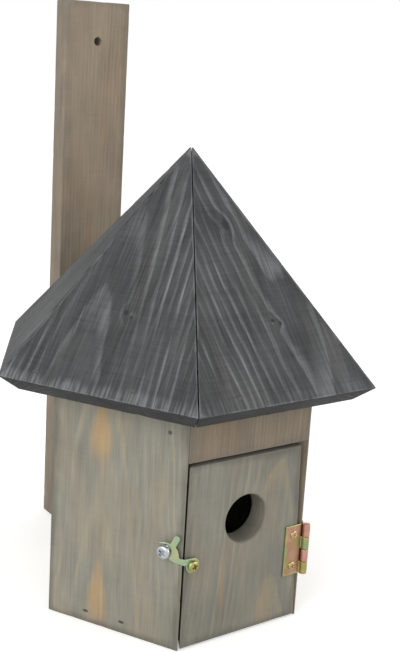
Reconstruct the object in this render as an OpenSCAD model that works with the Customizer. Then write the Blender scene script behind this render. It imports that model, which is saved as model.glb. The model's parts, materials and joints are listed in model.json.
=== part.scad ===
// Hexagonal nest box with a six-panel pyramid roof, a hinged front that holds the entrance hole,
// and a long back board with one hole to hang it by.
// Millimetres. +Z is up and the door faces -Y. The origin is the middle of the box's underside.

/* [Box] */
// Outer width of each of the six sides
side = 108; // [90:1:140]
// Thickness of the wall boards, the lintel and the door
wall_t = 18; // [14:0.5:24]
// Height of the outer faces of the walls, up to the underside of the roof
wall_h = 208; // [190:1:280]
// Thickness of the floor board
floor_t = 18; // [12:0.5:24]

/* [Roof] */
// Length of each eave
eave_l = 153; // [140:1:190]
// Slope of the roof above level, in degrees
pitch = 50; // [35:1:58]
// Thickness of the roof panels
roof_t = 18; // [12:0.5:24]
// Width of the open seam between two panels
hip_gap = 0.6; // [0.4:0.1:3]

/* [Door] */
// Height of the door
door_h = 137; // [130:1:165]
// Room under the door
sill_gap = 1.5; // [1:0.1:4]
// Room between the door and the lintel
head_gap = 2.5; // [1:0.1:5]
// Room between the door's mitred edges and the walls
door_gap = 1.2; // [0.6:0.1:3]
// How much narrower the door is at the top, cut from its hinged edge
door_taper = 5.5; // [0:0.5:8]
// Diameter of the entrance
entrance_d = 36; // [26:1:46]
// Height of the middle of the entrance
entrance_z = 90.5; // [85:0.5:105]
// Radius of the rounded rim of the entrance
entrance_rim = 2; // [0.5:0.1:3]
// Room between the back of the door and the front edge of the floor
floor_gap = 1.5; // [1:0.1:4]

/* [Back board] */
// Width of the back board and its spacers
board_w = 60; // [45:1:90]
// Thickness of the back board
board_t = 18; // [14:0.5:24]
// Length of the back board
board_h = 453; // [430:1:600]
// Depth of the spacer blocks between the back wall and the board
spacer_d = 50; // [44:1:70]
// Height of each spacer block
spacer_h = 55; // [30:1:65]
// Diameter of the hanging hole
hang_d = 7; // [4:0.5:9]
// Distance from the top of the board down to the hanging hole
hang_drop = 32; // [15:1:50]

/* [Hinge] */
// Height of the hinge
hinge_h = 40; // [30:1:50]
// Height of the hinge's lower end
hinge_z = 36; // [25:0.5:45]
// Width of a leaf, from the middle of the pin
leaf_w = 18; // [14:0.5:22]
// Thickness of the leaves
leaf_t = 1.2; // [0.8:0.1:1.6]
// Outer diameter of the knuckles
knuckle_d = 5.8; // [5:0.1:7]
// Diameter of the pin
hinge_pin_d = 3; // [2.4:0.1:3.4]
// Height between two knuckles
knuckle_gap = 0.4; // [0.2:0.1:0.8]
// Distance between the two screws of a leaf
leaf_screw_pitch = 25; // [18:0.5:26]
// Distance from the middle of the pin to the screws
leaf_screw_x = 10; // [8.5:0.5:12]
// Diameter of the heads of the hinge screws
leaf_head_d = 6.6; // [5:0.1:7.4]
// Height of the heads of the hinge screws
leaf_head_h = 1.2; // [0.8:0.1:2]
// Diameter of the shanks of the hinge screws
leaf_screw_d = 3; // [2.4:0.1:3.4]

/* [Latch] */
// Distance from the door's left arris to the pivot of the hook
pivot_x = 6.5; // [6:0.5:8]
// Height of the pivot of the hook
pivot_z = 66.5; // [60:0.5:70]
// Gap between the door and the hook
hook_off = 2.2; // [1.8:0.1:3]
// Thickness of the hook
hook_t = 1.2; // [0.8:0.1:1.4]
// Radius of the eye of the hook
eye_r = 5.5; // [4.8:0.1:5.8]
// Distance from the pivot to the bend of the hook
bend_x = 6.8; // [6.8:0.1:7.4]
// Angle of the bend of the hook, in degrees
bend_a = 45; // [42:1:50]
// Distance along the hook from the bend to the middle of its claw
claw_x = 15.4; // [15:0.1:16.4]
// Height of the middle of the claw over the pivot
claw_z = 10; // [9.6:0.1:11.5]
// Width of the claw
claw_w = 1.5; // [1.2:0.1:2]
// Diameter of the shank of the pivot screw
pivot_d = 3.5; // [3:0.1:4]
// Diameter of the head of the pivot screw
pivot_head_d = 8.6; // [7:0.1:9.4]
// Distance from the corner of the box back to the catch screw
catch_y = 12.1; // [11.6:0.1:12.8]
// Diameter of the shank of the catch screw
catch_d = 4.5; // [3.5:0.1:5]
// Diameter of the head of the catch screw
catch_head_d = 10.2; // [9:0.1:10.6]
// How far the head of the catch screw stands clear of the wall
catch_off = 7; // [6.8:0.1:8]
// Height of the heads of the two latch screws
latch_head_h = 2.4; // [1.8:0.1:3]
// Depth of the latch screws in the wood
latch_screw_l = 7.5; // [6:0.5:8]

/* [Fits] */
// Radial clearance of the hinge pin in the knuckles
pin_fit = 0.05; // [0.02:0.01:0.1]
// Radial clearance of the hook on its pivot screw
pivot_fit = 0.08; // [0.04:0.01:0.1]
// Radial clearance of the screws in the wood and in the leaves
screw_fit = 0.1; // [0.05:0.05:0.3]
// Room between the claw and the head of the catch screw
claw_fit = 0.5; // [0.3:0.1:1]

/* [Hidden] */
$fn = 64;

// Directions in which the six sides face, in degrees
FRONT = -90;
FRONT_RIGHT = -30;
BACK_RIGHT = 30;
BACK = 90;
BACK_LEFT = 150;
FRONT_LEFT = 210;

half = side / 2;
apothem = side * cos(30);
inner_apothem = apothem - wall_t;
lintel_z = sill_gap + door_h + head_gap;
// A panel's thickness measured upright
roof_rise = roof_t / cos(pitch);
eave_apothem = eave_l * cos(30);
board_front = apothem + spacer_d;

// The hinge pin stands on the bisector of the corner, so that both leaves lie on the wood
knuckle_r = knuckle_d / 2;
pin_out = knuckle_r / cos(30);
pin_x = half + pin_out * sin(30);
pin_y = -apothem - pin_out * cos(30);
knuckle_pitch = hinge_h / 4;
leaf_screw_zs = [(hinge_h - leaf_screw_pitch) / 2, (hinge_h + leaf_screw_pitch) / 2];
// Depth of the pilot holes of the hinge screws
leaf_pilot_l = 12;

hook_x = -half + pivot_x;
hook_y = -apothem - hook_off - hook_t / 2;
// Lower and upper edge of the hook's arm at the bend, over the pivot
arm_low = 1.2;
arm_high = 6;
claw_r = catch_head_d / 2 + claw_fit;
catch_z = pivot_z + claw_z;

// Colours
timber = "#928c80";
slate = "#4a4c4e";
zinc_yellow = "#a9a070";
zinc_bright = "#c8ccd0";

// ---- Boards ----

// Height of the roof's underside at a distance r from the axis
function soffit(r) = wall_h + (apothem - r) * tan(pitch);

// Plan of a mitred board between two distances from the axis, with a gap kept at both mitres
module mitred_plan(r_in, r_out, gap) {
    function w(r) = r * tan(30) - gap / cos(30);
    polygon([[r_in, -w(r_in)], [r_out, -w(r_out)], [r_out, w(r_out)], [r_in, w(r_in)]]);
}

// Extrudes an outline drawn in distance and height along the whole width of a side
module along_side(width) {
    rotate([90, 0, 0])
        linear_extrude(width, center = true)
            children();
}

// One wall: mitred to its neighbours, its top bevelled to carry the roof
module wall(facing, from_z = 0) {
    rotate([0, 0, facing])
        intersection() {
            along_side(2 * side)
                polygon([[inner_apothem, from_z], [apothem, from_z], [apothem, soffit(apothem)],
                         [inner_apothem, soffit(inner_apothem)]]);
            linear_extrude(2 * wall_h)
                mitred_plan(inner_apothem, apothem, 0);
        }
}

// Moves what is drawn for a screw, which points along +X out of the wood, to a place on a side
module on_side(facing, along, z) {
    rotate([0, 0, facing])
        translate([apothem, along, z])
            children();
}

module pilot(d, l) {
    rotate([0, -90, 0])
        translate([0, 0, -1])
            cylinder(h = l + 1, d = d + 2 * screw_fit);
}

module floor_panel() {
    color(timber)
        difference() {
            cylinder(h = floor_t, r = inner_apothem / cos(30), $fn = 6);
            translate([-side, -inner_apothem - 1, -1])
                cube([2 * side, 1 + floor_gap, floor_t + 2]);
        }
}

module front_left_wall() {
    color(timber)
        difference() {
            wall(FRONT_LEFT);
            on_side(FRONT_LEFT, half - catch_y, catch_z)
                pilot(catch_d, latch_screw_l);
        }
}

module front_right_wall() {
    color(timber)
        difference() {
            wall(FRONT_RIGHT);
            for (z = leaf_screw_zs)
                wall_leaf_place()
                    translate([-leaf_screw_x, knuckle_r, z])
                        leaf_pilot();
        }
}

module back_left_wall() color(timber) wall(BACK_LEFT);
module back_right_wall() color(timber) wall(BACK_RIGHT);
module back_wall() color(timber) wall(BACK);
module lintel() color(timber) wall(FRONT, lintel_z);

// ---- Roof ----

// One triangular panel, mitred at the hips, its eave cut square
module roof_panel(facing) {
    eave_top = soffit(eave_apothem) + roof_rise;
    reach = 2 * eave_apothem;
    color(slate)
        rotate([0, 0, facing])
            intersection() {
                along_side(2 * eave_l)
                    polygon([[0, soffit(0)],
                             [eave_apothem - roof_t * sin(pitch), eave_top - roof_t * cos(pitch)],
                             [eave_apothem, eave_top], [0, soffit(0) + roof_rise]]);
                linear_extrude(soffit(0) + roof_rise)
                    polygon([[hip_gap, 0], [reach, -(reach - hip_gap) * tan(30)],
                             [reach, (reach - hip_gap) * tan(30)]]);
            }
}

module roof_front() roof_panel(FRONT);
module roof_front_left() roof_panel(FRONT_LEFT);
module roof_front_right() roof_panel(FRONT_RIGHT);
module roof_back_left() roof_panel(BACK_LEFT);
module roof_back_right() roof_panel(BACK_RIGHT);
module roof_back() roof_panel(BACK);

// ---- Door ----

// The entrance with both rims rounded, along +X from the back face of the door
module entrance() {
    r = entrance_d / 2;
    rotate([0, 90, 0])
        rotate_extrude() {
            translate([0, -1])
                square([r, wall_t + 2]);
            for (end = [0, 1])
                translate([r, end * wall_t])
                    mirror([0, end])
                        difference() {
                            translate([-1, -1])
                                square([entrance_rim + 1, entrance_rim + 1]);
                            translate([entrance_rim, entrance_rim])
                                circle(entrance_rim);
                        }
        }
}

// Everything past the door's hinged edge, which leans in towards the top
module hinged_edge_waste() {
    lean = atan(door_taper * cos(30) / door_h);
    translate([apothem, apothem * tan(30) - door_gap / cos(30), sill_gap])
        rotate([0, 0, 30])
            rotate([lean, 0, 0])
                translate([-2 * wall_t, 0, -wall_t])
                    cube([4 * wall_t, 2 * wall_t, door_h + 3 * wall_t]);
}

module door() {
    color(timber)
        difference() {
            rotate([0, 0, FRONT])
                difference() {
                    translate([0, 0, sill_gap])
                        linear_extrude(door_h)
                            mitred_plan(inner_apothem, apothem, door_gap);
                    hinged_edge_waste();
                    translate([inner_apothem, 0, entrance_z])
                        entrance();
                }
            on_side(FRONT, hook_x, pivot_z)
                pilot(pivot_d, latch_screw_l);
            for (z = leaf_screw_zs)
                door_leaf_place()
                    translate([-leaf_screw_x, knuckle_r, z])
                        leaf_pilot();
        }
}

// ---- Back board ----

module back_board() {
    color(timber)
        difference() {
            translate([-board_w / 2, board_front, 0])
                cube([board_w, board_t, board_h]);
            translate([0, board_front - 1, board_h - hang_drop])
                rotate([-90, 0, 0])
                    cylinder(h = board_t + 2, d = hang_d);
        }
}

module spacer(z) {
    color(timber)
        translate([-board_w / 2, apothem, z])
            cube([board_w, spacer_d, spacer_h]);
}

module lower_spacer() spacer(0);
// The upper block ends under the back eave
module upper_spacer() spacer(lintel_z - spacer_h);

// ---- Hinge ----

module door_leaf_place() {
    translate([pin_x, pin_y, hinge_z])
        children();
}

module wall_leaf_place() {
    translate([pin_x, pin_y, hinge_z])
        rotate([0, 0, 60])
            mirror([1, 0, 0])
                children();
}

module leaf_pilot() {
    rotate([90, 0, 0])
        translate([0, 0, -leaf_pilot_l])
            cylinder(h = leaf_pilot_l + 1, d = leaf_screw_d + 2 * screw_fit);
}

// A leaf that reaches along -X from the pin, with its back on +Y. Its knuckles fill the given quarters.
module leaf(quarters) {
    clear = knuckle_r + knuckle_gap;
    difference() {
        union() {
            translate([-leaf_w, knuckle_r - leaf_t, 0])
                cube([leaf_w - clear, leaf_t, hinge_h]);
            for (q = quarters)
                translate([0, 0, q * knuckle_pitch + knuckle_gap / 2]) {
                    cylinder(h = knuckle_pitch - knuckle_gap, d = knuckle_d);
                    translate([-clear - leaf_t, knuckle_r - leaf_t, 0])
                        cube([clear + leaf_t, leaf_t, knuckle_pitch - knuckle_gap]);
                }
        }
        translate([0, 0, -1])
            cylinder(h = hinge_h + 2, d = hinge_pin_d + 2 * pin_fit);
        for (z = leaf_screw_zs)
            translate([-leaf_screw_x, knuckle_r, z])
                rotate([90, 0, 0])
                    translate([0, 0, -1])
                        cylinder(h = leaf_t + 2, d = leaf_screw_d + 2 * screw_fit);
    }
}

// The two screws of a leaf, their heads flat on it
module leaf_screws() {
    for (z = leaf_screw_zs)
        translate([-leaf_screw_x, knuckle_r, z])
            rotate([90, 0, 0]) {
                translate([0, 0, 1 - leaf_pilot_l])
                    cylinder(h = leaf_pilot_l - 1 + leaf_t, d = leaf_screw_d);
                translate([0, 0, leaf_t])
                    cylinder(h = leaf_head_h, d1 = leaf_head_d, d2 = leaf_head_d - leaf_head_h);
            }
}

module door_hinge_leaf() color(zinc_yellow) door_leaf_place() leaf([0, 2]);
module wall_hinge_leaf() color(zinc_yellow) wall_leaf_place() leaf([1, 3]);
module door_leaf_screws() color(zinc_yellow) door_leaf_place() leaf_screws();
module wall_leaf_screws() color(zinc_yellow) wall_leaf_place() leaf_screws();

module hinge_pin() {
    color(zinc_yellow)
        translate([pin_x, pin_y, hinge_z])
            cylinder(h = hinge_h, d = hinge_pin_d);
}

// ---- Latch ----

// Both parts of the hook are drawn flat, with X away from the pivot and Y up from it
module eye_outline() {
    difference() {
        union() {
            circle(eye_r);
            polygon([[0, 0], [bend_x, arm_low], [bend_x, arm_high], [0, eye_r]]);
        }
        circle(d = pivot_d + 2 * pivot_fit);
    }
}

// X starts at the bend here. The arm rises to a claw open on the far side, with a finger tab over it.
// The tip of the claw is level, so it passes over the head of the catch screw.
module claw_outline() {
    top = claw_z + claw_r;
    tip_l = 3.2;
    tip_h = 0.6;
    tab_w = 4.4;
    tab_l = 7;
    tab_lean = 26;
    lower_edge = [[0, arm_low], [claw_x - 8.1, claw_z - 7.4], [claw_x - 4.6, claw_z - 5.6],
                  [claw_x - 2.8, claw_z]];
    upper_edge = [[claw_x - 3.6, top + claw_w - 0.4], [claw_x - 8.8, claw_z + 3.6],
                  [claw_x - 10.2, claw_z + 1.4], [claw_x - 11, claw_z - 1.4],
                  [claw_x - 11.4, claw_z - 4], [0, arm_high]];
    difference() {
        union() {
            polygon(concat(lower_edge, [[claw_x, claw_z], [claw_x, top + claw_w]], upper_edge));
            polygon([[claw_x - 1, top + 0.2], [claw_x + tip_l, top + 0.2],
                     [claw_x + tip_l, top + 0.2 + tip_h], [claw_x, top + claw_w]]);
            translate([claw_x - 6, claw_z + 4])
                rotate(tab_lean) {
                    translate([-tab_w / 2, 0])
                        square([tab_w, tab_l]);
                    translate([0, tab_l])
                        circle(tab_w / 2);
                }
        }
        translate([claw_x, claw_z])
            circle(claw_r);
    }
}

// Stands a flat outline upright, X to the left and Y up, in the middle of the hook's thickness
module upright() {
    mirror([1, 0, 0])
        rotate([90, 0, 0])
            linear_extrude(hook_t, center = true)
                children();
}

module latch_hook() {
    color(zinc_yellow)
        translate([hook_x, hook_y, pivot_z]) {
            upright()
                eye_outline();
            translate([-bend_x, 0, 0]) {
                rotate([0, 0, -bend_a])
                    upright()
                        claw_outline();
                translate([0, 0, arm_low + 0.1])
                    cylinder(h = arm_high - arm_low - 0.2, d = hook_t);
            }
        }
}

// A pan-head screw along +X, its head standing the given distance off the wood
module latch_screw(d, head_d, off) {
    rotate([0, 90, 0]) {
        translate([0, 0, -latch_screw_l + 0.5])
            cylinder(h = latch_screw_l - 0.5 + off, d = d);
        translate([0, 0, off])
            rotate_extrude()
                difference() {
                    square([head_d / 2, latch_head_h]);
                    translate([head_d / 2 - latch_head_h / 2, latch_head_h / 2])
                        difference() {
                            square(latch_head_h);
                            circle(latch_head_h / 2);
                        }
                }
    }
}

module latch_pivot_screw() {
    color(zinc_yellow)
        on_side(FRONT, hook_x, pivot_z)
            latch_screw(pivot_d, pivot_head_d, hook_off + hook_t + claw_fit / 2);
}

module latch_catch_screw() {
    color(zinc_bright)
        on_side(FRONT_LEFT, half - catch_y, catch_z)
            latch_screw(catch_d, catch_head_d, catch_off);
}

floor_panel();
front_left_wall();
front_right_wall();
back_left_wall();
back_right_wall();
back_wall();
lintel();
roof_front();
roof_front_left();
roof_front_right();
roof_back_left();
roof_back_right();
roof_back();
door();
back_board();
upper_spacer();
lower_spacer();
door_hinge_leaf();
wall_hinge_leaf();
hinge_pin();
door_leaf_screws();
wall_leaf_screws();
latch_hook();
latch_pivot_screw();
latch_catch_screw();
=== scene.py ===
# %% [markdown]
# # A hexagonal nest box
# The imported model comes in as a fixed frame: one Blender object for each CAD node, in metres, +Z
# up, the door towards -Y. Every new piece takes its place and size from those nodes. The boards are
# stained softwood, sawn, nailed and left outside for a while. That is what the finishes have to
# tell.

# %% Load the frame
import json
import math

import bmesh
import bpy
from mathutils import Matrix, Vector, noise


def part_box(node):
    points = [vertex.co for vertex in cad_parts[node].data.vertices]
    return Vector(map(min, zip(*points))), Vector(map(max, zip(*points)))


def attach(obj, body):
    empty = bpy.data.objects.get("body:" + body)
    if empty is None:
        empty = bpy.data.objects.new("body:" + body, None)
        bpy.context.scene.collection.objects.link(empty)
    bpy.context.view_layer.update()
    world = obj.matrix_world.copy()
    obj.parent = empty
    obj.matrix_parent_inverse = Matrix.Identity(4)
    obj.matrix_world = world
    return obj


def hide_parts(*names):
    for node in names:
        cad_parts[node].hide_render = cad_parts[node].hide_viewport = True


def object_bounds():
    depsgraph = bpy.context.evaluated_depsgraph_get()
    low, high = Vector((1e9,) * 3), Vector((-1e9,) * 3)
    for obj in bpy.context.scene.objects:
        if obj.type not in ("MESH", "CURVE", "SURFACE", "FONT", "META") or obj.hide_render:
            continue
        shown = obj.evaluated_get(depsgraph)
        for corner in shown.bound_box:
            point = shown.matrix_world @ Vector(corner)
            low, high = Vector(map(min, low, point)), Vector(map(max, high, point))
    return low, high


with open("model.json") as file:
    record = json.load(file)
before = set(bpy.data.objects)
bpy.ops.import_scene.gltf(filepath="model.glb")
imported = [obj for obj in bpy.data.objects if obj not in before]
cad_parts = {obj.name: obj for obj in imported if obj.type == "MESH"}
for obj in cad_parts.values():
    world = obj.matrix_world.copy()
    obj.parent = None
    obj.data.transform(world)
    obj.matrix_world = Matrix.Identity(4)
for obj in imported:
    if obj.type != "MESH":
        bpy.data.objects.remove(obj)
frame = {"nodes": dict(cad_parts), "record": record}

CAD_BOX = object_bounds()
MM = 0.001            # a millimetre in the scene's metres
scene = bpy.context.scene
RECORD = frame["record"]
BODY = {node: body for body, nodes in RECORD["behaviour"]["bodies"].items() for node in nodes}
SLOT = {part["node"]: part["material_slot"] for part in RECORD["subparts"]}
print("CAD box, mm:", [round((high - low) / MM, 1) for low, high in zip(*CAD_BOX)])


# %% [markdown]
# ## Colours and nodes
# Colours are written as the eye reads them, in sRGB hex, and one function turns them to the linear
# light that a shader works in. One more function adds a node, sets it up and links it, which keeps
# each material readable as a recipe.

# %% Colours and nodes
def srgb(code):
    """An sRGB hex colour as linear RGBA."""
    parts = [int(code[i:i + 2], 16) / 255 for i in (1, 3, 5)]
    linear = [c / 12.92 if c <= 0.04045 else ((c + 0.055) / 1.055) ** 2.4 for c in parts]
    return (*linear, 1.0)


def add_node(tree, kind, inputs=None, **settings):
    """Adds a shader node with its settings. An input is a value, a socket or a node (its first output)."""
    node = tree.nodes.new("ShaderNode" + kind)
    for name, value in settings.items():
        setattr(node, name, value)
    for name, value in (inputs or {}).items():
        if isinstance(value, bpy.types.Node):
            value = next(socket for socket in value.outputs if socket.enabled)
        if isinstance(value, bpy.types.NodeSocket):
            tree.links.new(value, node.inputs[name])
        else:
            node.inputs[name].default_value = value
    return node


# A Mix node keeps separate sockets for numbers and colours: these are the colour ones
MIX_A, MIX_B, MIX_OUT = 6, 7, 2


def new_material(name):
    """A material with its node tree and its Principled shader."""
    material = bpy.data.materials.new(name)
    material.use_nodes = True
    return material, material.node_tree, material.node_tree.nodes["Principled BSDF"]


print("sRGB mid grey is linear", round(srgb("#808080")[0], 3))

# %% [markdown]
# ## Camera
# The box is seen from the left of its door and a little above its eave, from about 80 cm. A turned
# camera could be set with three Euler angles, but this one also leans a little to one side, so it
# is clearer to build its three axes: forward, right and up.

# %% Camera
CAMERA_PLACE = Vector((-0.441, -0.622, 0.4043))
HEADING = math.radians(32.57)    # to the right of +Y
DOWN = math.radians(12.6)
ROLL = math.radians(2.61)
LENS = 56.7           # mm, for the usual 36 mm wide sensor
SHIFT = (0.1, -0.05)  # slides the picture sideways and down, in picture widths

forward = Vector((math.sin(HEADING) * math.cos(DOWN), math.cos(HEADING) * math.cos(DOWN), -math.sin(DOWN)))
level_right = Vector((math.cos(HEADING), -math.sin(HEADING), 0))
level_up = level_right.cross(forward)
right = math.cos(ROLL) * level_right + math.sin(ROLL) * level_up
up = right.cross(forward)

camera = bpy.data.objects.new("camera", bpy.data.cameras.new("camera"))
camera.data.lens = LENS
camera.data.shift_x = SHIFT[0]
camera.data.shift_y = SHIFT[1]
camera.matrix_world = Matrix.Translation(CAMERA_PLACE) @ Matrix((right, up, -forward)).transposed().to_4x4()
scene.collection.objects.link(camera)
scene.camera = camera

# %% [markdown]
# ## Sky and background
# A plain sky lights everything evenly, so a colour renders about as it is written. The background
# should be pure white, but a white sky would wash out the wood. The Light Path node tells the two
# apart: rays from the camera, reflections and transmitted rays find white, and the rays that light
# the wood find the dimmer sky.

# %% World
SKY = 0.72            # strength of the sky that lights the wood

scene.view_settings.view_transform = "Standard"
world = bpy.data.worlds.new("studio")
world.use_nodes = True
scene.world = world
sky_tree = world.node_tree
path = add_node(sky_tree, "LightPath")
seen = path.outputs["Is Camera Ray"]
for ray in ("Is Glossy Ray", "Is Transmission Ray"):
    seen = add_node(sky_tree, "Math", {0: seen, 1: path.outputs[ray]}, operation="MAXIMUM")
strength = add_node(sky_tree, "MapRange", {0: seen, 3: SKY, 4: 1.0})
background = sky_tree.nodes["Background"]
background.inputs["Color"].default_value = (1, 1, 1, 1)
sky_tree.links.new(strength.outputs[0], background.inputs["Strength"])
print("sky strength for the wood:", SKY)

# %% [markdown]
# ## Lamps
# Two large area lamps stand in for windows. The one on the left lights the long side wall most, the
# one on the right keeps the door from going flat. A large lamp gives a soft shadow, as a small one
# of the same power would not.

# %% Lamps
def soft_lamp(name, place, size, watts):
    """A square area lamp that looks at the middle of the box."""
    lamp = bpy.data.objects.new(name, bpy.data.lights.new(name, "AREA"))
    lamp.data.size = size
    lamp.data.energy = watts
    lamp.location = place
    middle = (CAD_BOX[0] + CAD_BOX[1]) / 2
    lamp.rotation_euler = (middle - Vector(place)).to_track_quat("-Z", "Y").to_euler()
    scene.collection.objects.link(lamp)


# name, place and width in metres, power in watts
soft_lamp("window_right", (1.3, -1.5, 0.7), 1.0, 8.0)
soft_lamp("window_left", (-1.7, -0.7, 1.0), 1.4, 15.0)

# %% [markdown]
# ## Floor
# A pale matt floor catches a soft shadow. It has to end in the same white as the background, so to
# the camera, and only to the camera, it also glows a little. The glow is seen and lights nothing.

# %% Floor
FLOOR_GLOW = 0.42     # just enough to lift the lit floor to white
FLOOR_REACH = 30      # m from the middle, so that its edge is out of sight

floor_material, tree, shader = new_material("white_studio_floor")
shader.inputs["Base Color"].default_value = srgb("#f4f4f2")
shader.inputs["Roughness"].default_value = 0.9
path = add_node(tree, "LightPath")
glow = add_node(tree, "Emission", {"Color": (1, 1, 1, 1), "Strength": FLOOR_GLOW})
both = add_node(tree, "AddShader", {0: shader, 1: glow})
chosen = add_node(tree, "MixShader", {0: path.outputs["Is Camera Ray"], 1: shader, 2: both})
tree.links.new(chosen.outputs[0], tree.nodes["Material Output"].inputs["Surface"])

mesh = bpy.data.meshes.new("studio_floor")
corners = [(-1, -1), (1, -1), (1, 1), (-1, 1)]
mesh.from_pydata([(x * FLOOR_REACH, y * FLOOR_REACH, 0) for x, y in corners], [], [(0, 1, 2, 3)])
mesh.materials.append(floor_material)
studio_floor = bpy.data.objects.new("studio_floor", mesh)
scene.collection.objects.link(studio_floor)
print("floor, m:", [2 * FLOOR_REACH] * 2)

# %% [markdown]
# ## A board's own directions
# Wood has to know its own directions: across the face, along the grain, and down from the face. A
# board is sawn lengthways, so its grain runs up a wall and up the slope of a roof panel. The
# directions could be typed in for each of the 17 boards, but they can be read from its shape: the
# largest face is the one that shows. Every material works its grain out from them, so the grain
# turns at each mitre as it does on real boards.

# %% Board directions
def outer_normal(mesh):
    """The direction of a board's largest face, turned away from the box's middle line."""
    areas = {}
    for face in mesh.polygons:
        key = tuple(round(c, 2) for c in face.normal)
        areas[key] = areas.get(key, 0) + face.area
    normal = Vector(max(areas, key=areas.get)).normalized()
    centre = sum((v.co for v in mesh.vertices), Vector()) / len(mesh.vertices)
    outward = Vector((centre.x, centre.y, 0)).dot(normal)
    return -normal if outward < 0 else normal


def board_axes(mesh):
    """Across the face, along the grain and out of the face. The grain runs as upright as the face allows."""
    out = outer_normal(mesh)
    upright = Vector((0, 0, 1)) if abs(out.z) < 0.9 else Vector((0, 1, 0))
    along = (upright - upright.dot(out) * out).normalized()
    return along.cross(out), along, out


def board_space(mesh):
    """Turns a point to board coordinates: from its centre line, from its lower end, from its outer face."""
    axes = board_axes(mesh)
    reach = [[axis.dot(v.co) for v in mesh.vertices] for axis in axes]
    start = Vector(((min(reach[0]) + max(reach[0])) / 2, min(reach[1]), max(reach[2])))
    return axes, lambda p: Vector([axis.dot(p) for axis in axes]) - start


print("roof_front faces", [round(c, 2) for c in outer_normal(frame["nodes"]["roof_front"].data)])

# %% [markdown]
# ## Eased arrises
# Each board's shape is right in the CAD model, but its arrises are knife edges. A real board's
# arrises are eased by sandpaper, then knocked and worn. A bevel alone would leave them
# ruler-straight. So each board becomes a copy of its node with bevelled arrises, cut into a grid of
# a few millimetres, whose arrises then wander and lose small chips.

# %% Arrises and grid
GRID = 4 * MM         # spacing of the grid that lets an arris wander
STRAIGHT = 5 * MM     # a sharp edge shorter than this belongs to a hole and is left alone
SHARP = 25            # degrees between two faces that make an arris


def long_arrises(bm):
    """The straight sharp edges of a board."""
    return [e for e in bm.edges if len(e.link_faces) == 2 and e.calc_length() > STRAIGHT
            and e.calc_face_angle(0) > math.radians(SHARP)]


def distance_to(segments, p):
    """How far a point is from the nearest of some line segments."""
    best = 1.0
    for a, b in segments:
        span = b - a
        t = max(0.0, min(1.0, (p - a).dot(span) / span.length_squared))
        best = min(best, (p - a - t * span).length)
    return best


def cut_grid(bm, axis, spacing):
    """Cuts a mesh into strips across one direction."""
    reach = [axis.dot(v.co) for v in bm.verts]
    count = int((max(reach) - min(reach)) / spacing)
    for i in range(1, count):
        place = min(reach) + (max(reach) - min(reach)) * i / count
        bmesh.ops.bisect_plane(bm, geom=bm.verts[:] + bm.edges[:] + bm.faces[:], plane_co=axis * place,
                               plane_no=axis, dist=1e-7)


def add_attribute(mesh, name, domain, numbers):
    """Stores one number, or one vector, for each point or face of a mesh."""
    count = len(mesh.vertices if domain == "POINT" else mesh.polygons)
    kind, field = ("FLOAT", "value") if len(numbers) == count else ("FLOAT_VECTOR", "vector")
    mesh.attributes.new(name, kind, domain).data.foreach_set(field, numbers)


print("grid, mm:", round(GRID / MM))

# %% [markdown]
# ## Eased copies
# The bevel comes before the grid, because its many small edges would break a bevel. The wear then
# fades within twice the bevel's width of an arris, and near the roof's tip, where six boards meet
# and a gap would show. Last, the copy stores its directions, its distance to the nearest arris and
# its end grain, for the material to read.

# %% Eased copies
SWAY = 18 * MM        # length of one slow wave of an arris
CHIP = 7 * MM         # size of a chip
CHIP_FROM = 0.35      # noise above this is a chip
CHIP_SHIFT = Vector((7, 3, 1))    # takes the chips' noise from another place than the wander's
CREASE = math.radians(35)         # edges sharper than this stay sharp to the eye
FLAT_WITHIN = math.radians(1)     # faces this nearly level with each other become one
WHOLE_TIP = 20 * MM   # wear fades out this near to a board's highest point
EDGE_REACH = 12 * MM  # the material needs no distance beyond this
# The eave's slanted cut counts as end grain, so it takes the end grain's darkening, which on the roof is
# partly painted shade.
END_GAIN = 2.2        # makes a slanted cut, such as the eave's, count as end grain


def wear_down(bm, segments, ease, wander, chips):
    """Moves the points beside the arrises inwards: a slow wander, and chips here and there."""
    tip = max((v.co.copy() for v in bm.verts), key=lambda p: p.z)
    for v in bm.verts:
        near = max(0.0, 1 - distance_to(segments, v.co) / (2 * ease))
        near *= min(1.0, (v.co - tip).length / WHOLE_TIP)
        if near:
            sway = 0.5 + 0.5 * noise.noise(v.co / SWAY)
            chip = max(0.0, noise.noise(v.co / CHIP + CHIP_SHIFT) - CHIP_FROM)
            v.co -= v.normal * near * (wander * sway + chips * chip)


def eased_board(node, name, ease, wander, chips):
    """A copy of a board's node with eased, worn arrises, and with the attributes that its material reads."""
    source = frame["nodes"][node].data
    (across, along, out), local = board_space(source)
    bm = bmesh.new()
    bm.from_mesh(source)
    bmesh.ops.remove_doubles(bm, verts=bm.verts[:], dist=1e-6)
    bmesh.ops.dissolve_limit(bm, angle_limit=FLAT_WITHIN, verts=bm.verts[:], edges=bm.edges[:])
    arrises = long_arrises(bm)
    segments = [(e.verts[0].co.copy(), e.verts[1].co.copy()) for e in arrises]
    bmesh.ops.bevel(bm, geom=arrises, offset=ease, segments=3, profile=0.5, affect="EDGES",
                    clamp_overlap=False)
    cut_grid(bm, along, GRID)
    cut_grid(bm, across, GRID)
    bm.normal_update()
    wear_down(bm, segments, ease, wander, chips)
    mesh = bpy.data.meshes.new(name)
    bm.to_mesh(mesh)
    bm.free()
    spots = [v.co.copy() for v in mesh.vertices]
    add_attribute(mesh, "grain", "POINT", [c for p in spots for c in local(p)])
    add_attribute(mesh, "edge", "POINT", [min(EDGE_REACH, distance_to(segments, p)) for p in spots])
    end_grain = [min(1.0, END_GAIN * face.normal.dot(along) ** 2) for face in mesh.polygons]
    add_attribute(mesh, "end_grain", "FACE", end_grain)
    mesh.shade_smooth()
    mesh.set_sharp_from_angle(angle=CREASE)
    return place_piece(name, mesh, node)


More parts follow.
